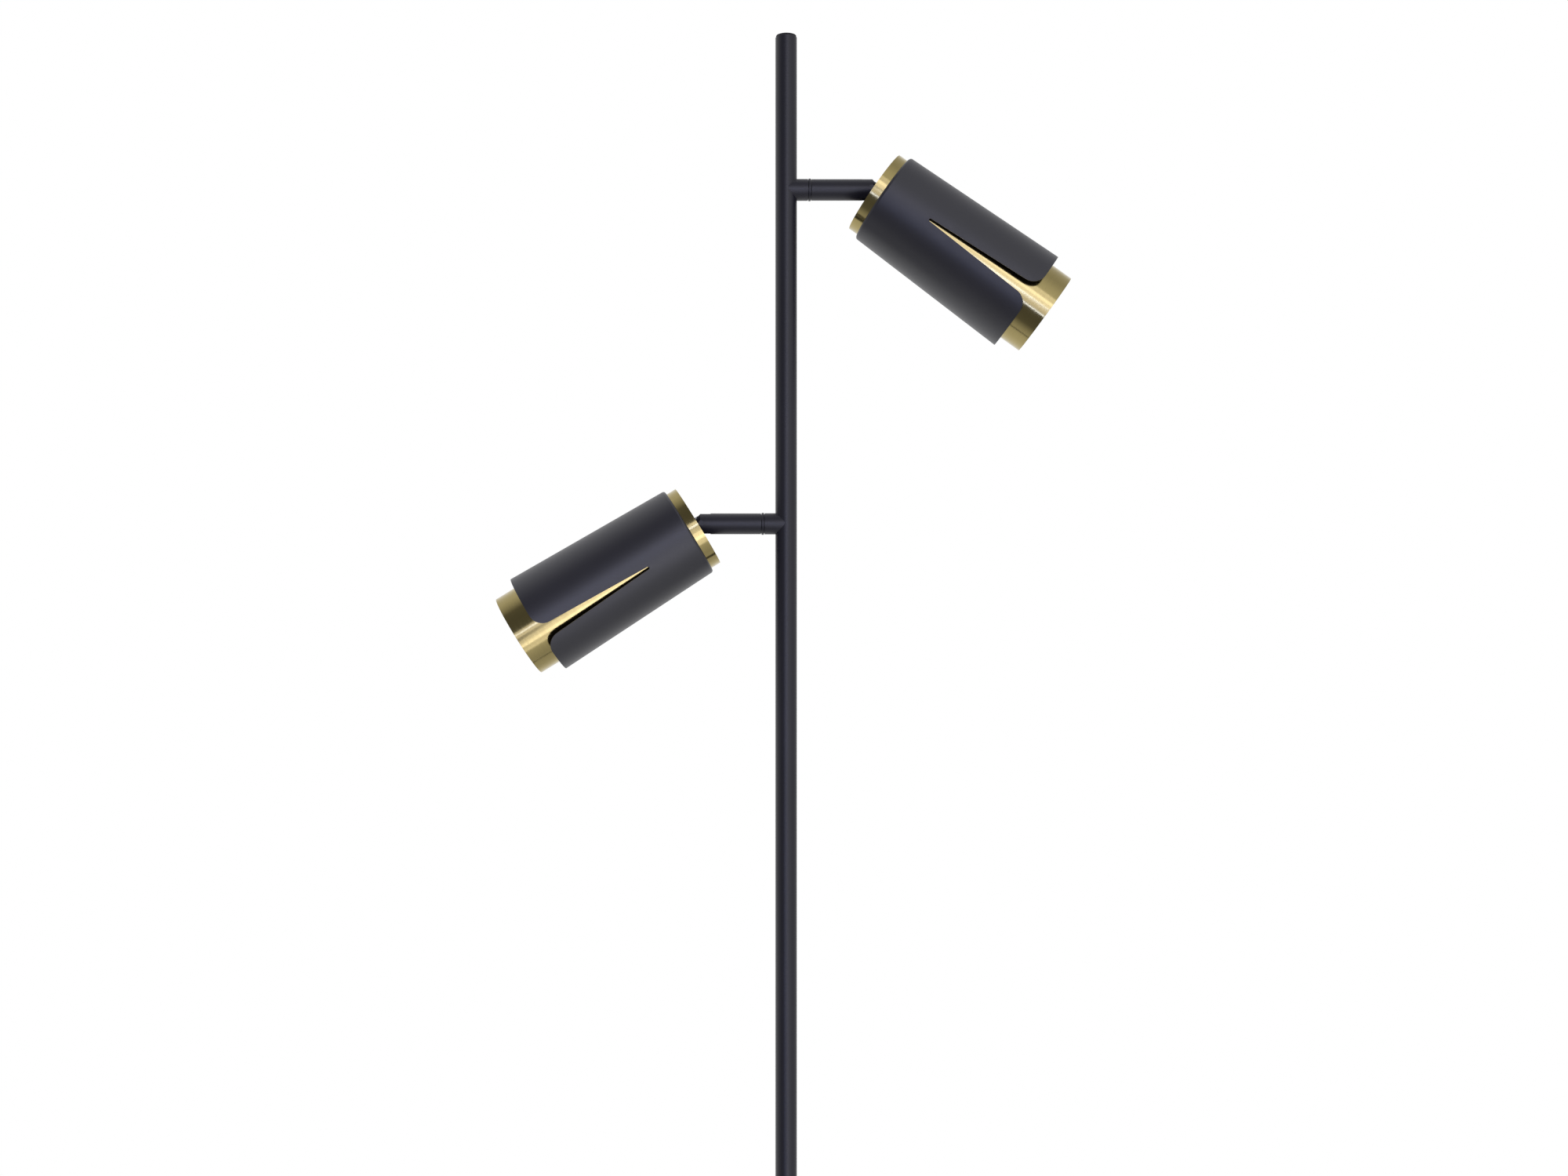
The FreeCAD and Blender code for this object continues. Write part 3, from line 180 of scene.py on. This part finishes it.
def turned_metal(name, axis, colour, roughness, line, strength, metallic=1.0):
    """Metal brushed round an axis: fine lines square to it, with a faint tarnish."""
    metal = Finish(name, roughness, metallic=metallic)
    own = metal.turned(*axis)
    lines = metal.noise(metal.stretched(own, (1, 0.02, 0.02)), scale=line, detail=3, rough=0.65)
    broad = metal.noise(metal.stretched(own, (1, 0.05, 0.05)), scale=line / 8)
    cloud = metal.noise(own, scale=22, detail=3)
    toned = metal.tinted(lines, darker(colour, 0.94), darker(colour, 1.05))
    tarnished = metal.node("ShaderNodeMix", {"Factor": metal.spread(cloud, 0, 0.1), "A": toned,
                                             "B": (*TARNISH, 1)},
                           data_type="RGBA", blend_type="MULTIPLY")
    metal.colour(tarnished.outputs["Result"])
    metal.roughen(metal.spread(broad, roughness - 0.02, roughness + 0.03))
    metal.raise_by((lines, strength, 0.0000012))
    return metal.material


def rubber(name, colour):
    skin = Finish(name, 0.8)
    speckle = skin.noise(skin.place, scale=2600, detail=3, rough=0.7)
    cloud = skin.noise(skin.place, scale=60)
    skin.colour(skin.tinted(cloud, colour, darker(colour, 1.6)))
    skin.roughen(skin.spread(speckle, 0.72, 0.9))
    skin.raise_by((speckle, 0.4, 0.00008))
    return skin.material


def moulded(name, colour, roughness, grain):
    """Plastic or ceramic, with a slight mottle and grain."""
    skin = Finish(name, roughness)
    mottle = skin.noise(skin.place, scale=90, detail=3)
    fine = skin.noise(skin.place, scale=grain)
    skin.colour(skin.tinted(mottle, darker(colour, 0.93), colour))
    skin.roughen(skin.spread(fine, roughness - 0.05, roughness + 0.08))
    skin.raise_by((fine, 0.2, 0.00005))
    return skin.material


def lens_glass(name):
    pane = Finish(name, 0.04, clear=1.0, bending=1.5)
    ripple = pane.noise(pane.place, scale=160, detail=1)
    pane.colour(pane.tinted(ripple, (0.96, 0.98, 0.98), (0.99, 1, 1)))
    pane.raise_by((ripple, 0.15, 0.0001))
    return pane.material


def phosphor(name):
    """The yellow light source of the lamp, switched off, with its fine grain."""
    chip = Finish(name, 0.45)
    grain = chip.noise(chip.place, scale=5200, rough=0.7)
    chip.colour(chip.tinted(grain, (0.72, 0.48, 0.08), (0.86, 0.66, 0.16)))
    chip.raise_by((grain, 0.3, 0.00005))
    return chip.material


BLACK = (0.009, 0.0086, 0.0165)
POWDER_COATS = {
    # slot: colour, roughness, shine
    "black_powder_coat": (BLACK, 0.4, 0.6),
    "sleeve_powder_coat": (BLACK, 0.42, 0.88),
}
TURNED_METALS = {
    # slot: colour, roughness, fineness of the lines, their relief, how metallic if not fully
    "satin_brass": ((0.42, 0.345, 0.15), 0.14, 5000, 0.35),
    "blackened_aluminium": ((0.03, 0.03, 0.032), 0.4, 5000, 0.4, 0.6),
    "ground_steel": ((0.5, 0.5, 0.51), 0.25, 9000, 0.3),
    "zinc_steel": ((0.6, 0.61, 0.62), 0.33, 4000, 0.25),
    "spring_steel": ((0.3, 0.3, 0.31), 0.35, 3000, 0.25),
    "turned_brass": ((0.62, 0.48, 0.22), 0.3, 4000, 0.35),
    "lamp_aluminium": ((0.68, 0.68, 0.7), 0.36, 3500, 0.3),
    "nickel_pins": ((0.66, 0.64, 0.6), 0.2, 3000, 0.2),
}
MIRROR = ((0.83, 0.83, 0.84), 0.12, 3000, 0.2)
MOULDINGS = {
    # slot: colour, roughness, fineness of the grain
    "black_acetal": ((0.03, 0.03, 0.033), 0.4, 1500),
    "nylon": ((0.78, 0.78, 0.73), 0.45, 1500),
    "lead_insulation": ((0.03, 0.03, 0.033), 0.35, 1500),
    "white_ceramic": ((0.8, 0.79, 0.74), 0.6, 2600),
}
RUBBER = (0.016, 0.016, 0.018)
UPRIGHT = ((0, 0, 0), math.radians(90))
MADE = {}


def head_axis(side):
    """Centre and turn of a head's own axis, which starts at its tilt pin."""
    return JOINTS[f"{side}_head_tilt"]["pos_m"], math.radians(HEAD_TILT[side])


def new_finish(slot, side):
    if slot in TURNED_METALS:
        return turned_metal(slot, head_axis(side) if side else UPRIGHT, *TURNED_METALS[slot])
    if slot in POWDER_COATS:
        return powder_coat(slot, *POWDER_COATS[slot])
    if slot in MOULDINGS:
        return moulded(slot, *MOULDINGS[slot])
    makers = {"black_rubber": lambda: rubber(slot, RUBBER), "lamp_glass": lambda: lens_glass(slot)}
    return makers[slot]()


def finish_of(slot, side=None):
    """The material of a slot, made once. Turned metal has one for each axis it runs round."""
    key = (slot, side if slot in TURNED_METALS else None)
    if key not in MADE:
        MADE[key] = new_finish(*key)
    return MADE[key]


def side_of(name):
    side = name.split("_")[0]
    return side if side in HEAD_TILT else None


def dress_nodes():
    """Give every CAD node the material of its slot. The sleeves' coat is a little shinier."""
    for row in frame["record"]["subparts"]:
        name, slot = row["node"], row["material_slot"]
        if name.endswith("_sleeve"):
            slot = "sleeve_powder_coat"
        material = finish_of(slot, side_of(name))
        thing = frame["nodes"][name]
        for place in thing.material_slots:
            place.material = material
        if not thing.material_slots:
            thing.data.materials.append(material)


# --- Pieces -------------------------------------------------------------------------------

# Points of a shape that lie closer together than this, in millimetres, are one.
WELD = 0.0005


def head_matrix(side):
    centre, angle = head_axis(side)
    return Matrix.Translation(centre) @ Matrix.Rotation(angle, 4, "Y")


def add_piece(name, shape, matrix, material, body):
    """Turn a bmesh in millimetres into a piece of the lamp."""
    bmesh.ops.remove_doubles(shape, verts=shape.verts, dist=WELD)
    bmesh.ops.recalc_face_normals(shape, faces=shape.faces)
    mesh = bpy.data.meshes.new(name)
    shape.to_mesh(mesh)
    shape.free()
    mesh.transform(matrix @ Matrix.Scale(MM, 4))
    return place_piece(name, mesh, material, body)


def place_piece(name, mesh, material, body):
    mesh.materials.clear()
    mesh.materials.append(material)
    thing = bpy.data.objects.new(name, mesh)
    bpy.context.scene.collection.objects.link(thing)
    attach(thing, body)
    return thing


def lathe(profile, segments):
    """A closed profile of (along, radius) turned about X."""
    shape = bmesh.new()
    rings = []
    for along, radius in profile:
        ring = []
        for index in range(segments):
            angle = 2 * math.pi * index / segments
            point = (along, radius * math.cos(angle), radius * math.sin(angle))
            ring.append(shape.verts.new(point))
        rings.append(ring)
    for first, second in zip(rings, rings[1:] + rings[:1]):
        for index in range(segments):
            after = (index + 1) % segments
            shape.faces.new([first[index], first[after], second[after], second[index]])
    return shape


def smooth(thing, degrees=35):
    """Smooth shading with the sharp turns kept."""
    for face in thing.data.polygons:
        face.use_smooth = True
    thing.data.set_sharp_from_angle(angle=math.radians(degrees))


class Pattern:
    """A Geometry Nodes tree with named sizes, turned to a plain mesh once it is set."""

    def __init__(self, name):
        self.tree = bpy.data.node_groups.new(name, "GeometryNodeTree")
        self.tree.interface.new_socket("Geometry", in_out="OUTPUT",
                                       socket_type="NodeSocketGeometry")
        self.inputs = self.tree.nodes.new("NodeGroupInput")
        self.sizes = {}

    def size(self, name, amount):
        socket = self.tree.interface.new_socket(name, in_out="INPUT",
                                                socket_type="NodeSocketFloat")
        self.sizes[socket.identifier] = amount
        return self.inputs.outputs[name]

    def node(self, kind, inputs=(), **settings):
        return add_node(self.tree, kind, inputs, settings)

    def maths(self, operation, *terms):
        """The outcome of a sum on amounts, or on the outputs of other nodes."""
        terms = dict(enumerate(terms))
        return self.node("ShaderNodeMath", terms, operation=operation).outputs[0]

    def mesh(self, geometry, material):
        """The finished mesh, in metres."""
        whole = self.node("GeometryNodeRealizeInstances", {"Geometry": geometry})
        dressed = self.node("GeometryNodeSetMaterial", {"Geometry": whole.outputs[0],
                                                        "Material": material})
        end = self.tree.nodes.new("NodeGroupOutput")
        self.tree.links.new(dressed.outputs[0], end.inputs["Geometry"])
        holder = bpy.data.objects.new(self.tree.name, bpy.data.meshes.new(self.tree.name))
        bpy.context.scene.collection.objects.link(holder)
        modifier = holder.modifiers.new(self.tree.name, "NODES")
        modifier.node_group = self.tree
        for identifier, amount in self.sizes.items():
            modifier[identifier] = amount
        evaluated = holder.evaluated_get(bpy.context.evaluated_depsgraph_get())
        mesh = bpy.data.meshes.new_from_object(evaluated)
        holder.modifiers.remove(modifier)
        bpy.data.objects.remove(holder)
        return mesh


# Lamp: millimetres along the head's axis from the tilt pin, and out from that axis.
LAMP_FACE = 107.0
LAMP_BACK = 61.0
LENS_BACK = 103.4
LENS_FRONT = 106.4
LENS_RADIUS = 23.2
CORE = 0.01     # a turned profile ends this near to the axis
LAMP_SHELL = [
    # rear and outside, from the holder to the rim
    (LAMP_BACK, CORE), (LAMP_BACK, 10.6), (LAMP_BACK + 0.4, 11), (73, 11), (76, 12.9),
    (88, 18.3), (98.6, 23.0), (99, 23.6), (99, 24.6), (99.4, 25), (106.6, 25),
    # rim, seat of the lens, and the bowl's rough inside
    (LAMP_FACE, 24.6), (LAMP_FACE, 23.4), (106.8, LENS_RADIUS), (LENS_BACK, LENS_RADIUS),
    (LENS_BACK, 22.9), (79.2, 6.6), (79.2, CORE)]
SHELL_SEGMENTS = 96
BOWL_BACK, BOWL_MOUTH = (79.6, 6.2), (LENS_BACK - 0.1, 22.6)
BOWL_WALL = 0.3
BOWL_STEPS = 9
BOWL_FACETS = 32
LIGHT_BOARD = [(79.25, CORE), (79.25, 6.1), (79.9, 6.1), (79.9, CORE)]
LIGHT_SOURCE = [(79.95, CORE), (79.95, 4.2), (80.3, 4.2), (80.75, 3.6), (81.0, 2.2),
                (81.05, CORE)]
LIGHT_SEGMENTS = 48

LENSLET_RADIUS = 0.95
LENSLET_PITCH = 2.0
LENSLET_HEIGHT = 0.5
LENSLET_FIELD = 19.0
LENSLET_ROWS = 21
LENSLET_SEGMENTS, LENSLET_RINGS = 12, 6


def bowl_profile():
    """The reflector: a parabola in steps, so that each ring of it is flat along the axis."""
    (back, least), (mouth, most) = BOWL_BACK, BOWL_MOUTH
    inner = []
    for index in range(BOWL_STEPS + 1):
        radius = least + (most - least) * index / BOWL_STEPS
        share = (radius ** 2 - least ** 2) / (most ** 2 - least ** 2)
        inner.append((back + (mouth - back) * share, radius))
    return inner + [(along, radius + BOWL_WALL) for along, radius in reversed(inner)]


def make_lamp(side):
    """Lamp body with an open bowl, its facetted reflector, light source and lens."""
    body, place = f"{side}_head", head_matrix(side)
    shell = add_piece(f"{side}_lamp_shell", lathe(LAMP_SHELL, SHELL_SEGMENTS), place,
                      finish_of("lamp_aluminium", side), body)
    smooth(shell)
    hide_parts(f"{side}_lamp_body")
    mirror = turned_metal(f"reflector_{side}", head_axis(side), *MIRROR)
    add_piece(f"{side}_lamp_reflector", lathe(bowl_profile(), BOWL_FACETS), place, mirror, body)
    add_piece(f"{side}_lamp_board", lathe(LIGHT_BOARD, LIGHT_SEGMENTS), place,
              finish_of("white_ceramic"), body)
    smooth(add_piece(f"{side}_lamp_source", lathe(LIGHT_SOURCE, LIGHT_SEGMENTS), place,
                     phosphor(f"phosphor_{side}"), body))
    make_lenslets(side)


def make_lenslets(side):
    """Small domes in a honeycomb on the lens's front."""
    pattern = Pattern(f"{side}_lens_domes")
    pitch = pattern.size("Pitch", LENSLET_PITCH * MM)
    radius = pattern.size("Radius", LENSLET_RADIUS * MM)
    reach = pattern.size("Field radius", LENSLET_FIELD * MM)
    rise = pattern.size("Height", LENSLET_HEIGHT * MM)

    # Rows as close as a honeycomb's, and every other row moved along by half a pitch.
    row = pattern.maths("MULTIPLY", pitch, math.sqrt(3) / 2)
    wide = pattern.maths("MULTIPLY", pitch, LENSLET_ROWS - 1)
    high = pattern.maths("MULTIPLY", row, LENSLET_ROWS - 1)
    grid = pattern.node("GeometryNodeMeshGrid", {
        "Size X": high, "Size Y": wide, "Vertices X": LENSLET_ROWS, "Vertices Y": LENSLET_ROWS})
    number = pattern.node("GeometryNodeInputIndex").outputs[0]
    whole = pattern.maths("FLOOR", pattern.maths("DIVIDE", number, LENSLET_ROWS))
    odd = pattern.maths("MODULO", whole, 2.0)
    half = pattern.maths("MULTIPLY", pattern.maths("MULTIPLY", odd, pitch), 0.5)
    offset = pattern.node("ShaderNodeCombineXYZ", {"Y": half})
    moved = pattern.node("GeometryNodeSetPosition", {"Geometry": grid.outputs["Mesh"],
                                                     "Offset": offset.outputs[0]})

    # One flattened ball on each point that lies inside the round field.
    spot = pattern.node("GeometryNodeInputPosition")
    length = pattern.node("ShaderNodeVectorMath", {0: spot.outputs[0]}, operation="LENGTH")
    inside = pattern.node("FunctionNodeCompare", {"A": length.outputs["Value"], "B": reach},
                          operation="LESS_THAN")
    ball = pattern.node("GeometryNodeMeshUVSphere", {
        "Segments": LENSLET_SEGMENTS, "Rings": LENSLET_RINGS, "Radius": radius})
    flat = pattern.node("ShaderNodeCombineXYZ", {
        "X": 1.0, "Y": 1.0, "Z": pattern.maths("DIVIDE", rise, radius)})
    domes = pattern.node("GeometryNodeInstanceOnPoints", {
        "Points": moved.outputs[0], "Selection": inside.outputs[0],
        "Instance": ball.outputs["Mesh"], "Scale": flat.outputs[0]})
    glass = finish_of("lamp_glass")
    mesh = pattern.mesh(domes.outputs[0], glass)
    mesh.transform(head_matrix(side) @ Matrix.Translation((LENS_FRONT * MM, 0, 0))
                   @ Matrix.Rotation(math.radians(90), 4, "Y"))
    domes_piece = place_piece(f"{side}_lens_domes", mesh, glass, f"{side}_head")
    smooth(domes_piece, degrees=60)


# Spring, in millimetres. Its wire is drawn in short straight steps, and is nearly round.
SPRING_TURNS = 18
SPRING_RADIUS = 4.9
SPRING_WIRE = 1.6
STEPS_PER_TURN = 40
WIRE_SIDES = 14


def make_spring():
    """The tension spring, drawn at one length; in the lamp it shortens as the foot goes into the
    pole.
    """
    low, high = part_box("tension_spring")
    pattern = Pattern("spring_winding")
    turns = pattern.size("Turns", SPRING_TURNS)
    radius = pattern.size("Radius", SPRING_RADIUS * MM)
    rise = pattern.size("Rise", high.z - low.z - SPRING_WIRE * MM)
    wire = pattern.size("Wire radius", SPRING_WIRE / 2 * MM)
    line = pattern.node("GeometryNodeCurveSpiral", {
        "Resolution": STEPS_PER_TURN, "Rotations": turns, "Start Radius": radius,
        "End Radius": radius, "Height": rise})
    ring = pattern.node("GeometryNodeCurvePrimitiveCircle", {"Resolution": WIRE_SIDES,
                                                             "Radius": wire})
    wound = pattern.node("GeometryNodeCurveToMesh", {
        "Curve": line.outputs[0], "Profile Curve": ring.outputs[0], "Fill Caps": True})
    steel = finish_of("spring_steel")
    mesh = pattern.mesh(wound.outputs[0], steel)
    mesh.transform(Matrix.Translation((0, 0, low.z + SPRING_WIRE / 2 * MM)))
    spring = place_piece("tension_spring_winding", mesh, steel, "pole")
    smooth(spring, degrees=60)
    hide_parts("tension_spring")
    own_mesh(spring)


# --- Studio -------------------------------------------------------------------------------

FLOOR_RADIUS = 1.6
FLOOR_SEGMENTS = 96
FLOOR_DROP = 0.0005     # the floor lies this far under the pad, so that the two don't flicker

# Walls as shiny pieces mirror them: (place from the front, Y = -1, to the back, Y = 1, and
# brightness). Between these two places along X the left wall goes over into the right one.
LEFT_WALL = ((-0.75, 0.13), (-0.45, 0.16), (-0.2, 0.45), (0.0, 0.62), (0.25, 0.76),
             (0.5, 0.82), (0.9, 1.0))
RIGHT_WALL = ((-0.8, 0.85), (-0.6, 0.75), (-0.4, 0.62), (-0.15, 0.52), (0.05, 0.55),
              (0.5, 0.65), (0.9, 1.0))
WALLS_MEET = (0.05, 0.3)
ROOM_LIGHT = 0.5

STUDIO_REACH = 9.0
HEADS_MIDDLE = Vector((0, 0, 2.1))
COOL = (0.82, 0.81, 1.0)
ICE = (0.42, 0.5, 1.0)
WHITE = (1, 1, 1)
SOFTBOXES = [
    # name, azimuth, elevation, roll, wide, high, radiance, tone
    ("upper_key_foot", -6.2, -5.4, -38, 15, 16, 1.4, COOL),
    ("upper_key_middle", 2.5, 6, -38, 15, 9, 2.3, COOL),
    ("upper_key_head", 7.5, 14, -38, 15, 9, 3.1, COOL),
    ("upper_key_end", 15, 23, -38, 15, 13, 1.1, COOL),
    ("upper_line", -12.7, -14, -38, 14, 2.6, 9.0, ICE),
    ("lower_key_head", 5.6, -11.5, 30, 9, 13, 1.5, COOL),
    ("lower_key_middle", 11.4, -19.8, 30, 11, 9, 2.4, COOL),
    ("lower_key_foot", 17.5, -28, 30, 12, 10, 3.4, COOL),
    ("lower_key_end", 26.5, -38.5, 30, 12, 14, 1.2, COOL),
    ("lower_line", -1.3, -0.6, 29, 10, 2.6, 9.0, ICE),
]
OVERHEAD = ("overhead", 0, 88, 0, 50, 50, 2.4, WHITE)


def make_floor():
    """A pale round floor, which the lamp's own surfaces don't mirror."""
    bpy.ops.mesh.primitive_circle_add(vertices=FLOOR_SEGMENTS, radius=FLOOR_RADIUS,
                                      fill_type="NGON", location=(0, 0, -FLOOR_DROP))
    floor = bpy.context.object
    floor.name = "floor"
    material = bpy.data.materials.new("floor")
    material.use_nodes = True
    shader = material.node_tree.nodes["Principled BSDF"]
    shader.inputs["Base Color"].default_value = (0.86, 0.86, 0.87, 1)
    shader.inputs["Roughness"].default_value = 0.9
    floor.data.materials.append(material)
    floor.visible_glossy = False


def add_softbox(name, azimuth, elevation, roll, wide, high, radiance, tone):
    """A far rectangular lamp, placed and sized in degrees as the heads see it.

    Azimuth 0 is in front of the lamp, where the camera stands, and grows to the right.
    """
    size_x, size_y = (2 * STUDIO_REACH * math.tan(math.radians(part / 2)) for part in (wide, high))
    data = bpy.data.lights.new(name, "AREA")
    data.shape = "RECTANGLE"
    data.size, data.size_y = size_x, size_y
    data.energy = radiance * math.pi * size_x * size_y
    data.color = tone
    lamp = bpy.data.objects.new(name, data)
    bpy.context.scene.collection.objects.link(lamp)
    turn = (Matrix.Rotation(math.radians(azimuth), 4, "Z")
            @ Matrix.Rotation(math.radians(-elevation), 4, "X"))
    lamp.matrix_world = (Matrix.Translation(HEADS_MIDDLE) @ turn
                         @ Matrix.Translation((0, -STUDIO_REACH, 0))
                         @ Matrix.Rotation(math.radians(90), 4, "X")
                         @ Matrix.Rotation(math.radians(roll), 4, "Z"))
    lamp.visible_camera = False
    return lamp


def make_world():
    """White to the camera, an even light on matt surfaces, and the walls in shiny ones."""
    world = bpy.data.worlds.new("studio")
    bpy.context.scene.world = world
    world.use_nodes = True
    tree = world.node_tree

    def node(kind, inputs=(), **settings):
        return add_node(tree, kind, inputs, settings)

    ray = node("ShaderNodeLightPath").outputs
    direction = node("ShaderNodeTexCoord").outputs["Generated"]
    parts = node("ShaderNodeSeparateXYZ", {"Vector": direction}).outputs

    def wall(steps):
        """Brightness of a side wall along Y."""
        along = node("ShaderNodeMapRange", {"Value": parts["Y"], "From Min": -1, "From Max": 1})
        ramp = node("ShaderNodeValToRGB", {"Fac": along.outputs["Result"]})
        stops = ramp.color_ramp.elements
        while len(stops) < len(steps):
            stops.new(0.5)
        for stop, (depth, light) in zip(stops, steps):
            stop.position = (depth + 1) / 2
            stop.color = (light, light, light, 1)
        return ramp.outputs["Color"]

    def mixed(factor, first, second):
        return node("ShaderNodeMix", {"Factor": factor, "A": first, "B": second},
                    data_type="FLOAT").outputs["Result"]

    side = node("ShaderNodeMapRange", {"Value": parts["X"], "From Min": WALLS_MEET[0],
                                       "From Max": WALLS_MEET[1]})
    walls = mixed(side.outputs["Result"], wall(LEFT_WALL), wall(RIGHT_WALL))
    shiny = node("ShaderNodeMath", {0: ray["Is Glossy Ray"], 1: ray["Is Transmission Ray"]},
                 operation="MAXIMUM")
    lit = mixed(shiny.outputs[0], ROOM_LIGHT, walls)
    sky = tree.nodes["Background"]
    sky.inputs["Color"].default_value = (*WHITE, 1)
    tree.links.new(mixed(ray["Is Camera Ray"], lit, 1.0), sky.inputs["Strength"])


bpy.context.scene.view_settings.view_transform = "Standard"
make_camera()
dress_nodes()
for head in HEAD_TILT:
    make_lamp(head)
make_spring()
make_floor()
make_world()
for softbox in SOFTBOXES:
    add_softbox(*softbox)
add_softbox(*OVERHEAD).visible_glossy = False
